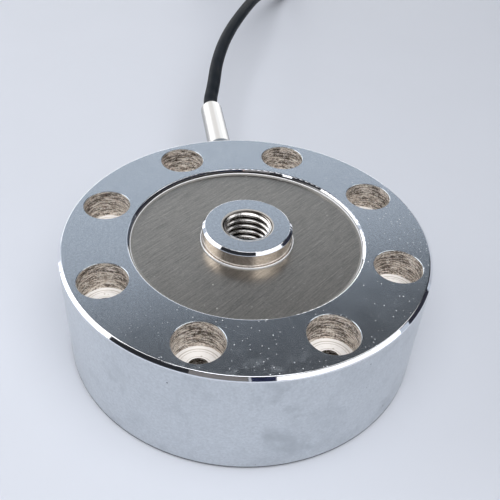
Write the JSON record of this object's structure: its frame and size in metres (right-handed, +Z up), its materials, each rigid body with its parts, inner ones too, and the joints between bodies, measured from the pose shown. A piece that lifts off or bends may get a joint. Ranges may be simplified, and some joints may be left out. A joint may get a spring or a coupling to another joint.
{
  "type": "spoke type load cell",
  "caption": "Round low-profile load cell: a plated steel ring and threaded hub joined by inner shear spokes, with counterbored ring holes, thin covers and a cable in a side sleeve.",
  "frame": {"origin": "centre of the ring's underside, on the axis of the hub's thread", "axes": "+Z up along the hub's thread, +Y along the cable sleeve, away from the ring"},
  "size_m": [0.1434, 0.4239, 0.0392],
  "materials": {
    "plated_steel": "satin nickel plate over machined steel",
    "cover_steel": "straight brushed sheet",
    "bright_plate": "bright nickel plate",
    "jacket": "satin extruded jacket",
    "seal_rubber": "moulded",
    "gauge_film": "film with an etched foil grid",
    "enamelled_wire": "enamelled copper",
    "board": "solder resist",
    "chip": "fired film on ceramic",
    "core_red": "extruded insulation",
    "core_black": "extruded insulation",
    "core_green": "extruded insulation",
    "core_white": "extruded insulation",
    "tinned_wire": "tinned strands",
    "tie": "moulded strap"
  },
  "bodies": {
    "root": {"spoke_body": "plated_steel", "top_cover": "cover_steel", "bottom_cover": "cover_steel", "strain_gauge_1": "gauge_film", "strain_gauge_2": "gauge_film", "strain_gauge_3": "gauge_film", "strain_gauge_4": "gauge_film", "strain_gauge_5": "gauge_film", "strain_gauge_6": "gauge_film", "strain_gauge_7": "gauge_film", "strain_gauge_8": "gauge_film", "gauge_leads_1": "enamelled_wire", "gauge_leads_2": "enamelled_wire", "gauge_leads_3": "enamelled_wire", "gauge_leads_4": "enamelled_wire", "gauge_leads_5": "enamelled_wire", "gauge_leads_6": "enamelled_wire", "gauge_leads_7": "enamelled_wire", "gauge_leads_8": "enamelled_wire", "bridge_board": "board", "zero_balance_resistor": "chip", "zero_drift_resistor": "chip", "span_resistor_1": "chip", "span_resistor_2": "chip", "cable_sleeve": "bright_plate", "cable_seal": "seal_rubber", "cable_entry": "jacket", "core_red": "core_red", "core_black": "core_black", "core_green": "core_green", "core_white": "core_white", "cable": "jacket", "cable_coil": "jacket", "coil_tie": "tie", "lead_red": "core_red", "lead_black": "core_black", "lead_green": "core_green", "lead_white": "core_white", "shield_drain": "tinned_wire"}
  },
  "joints": []
}
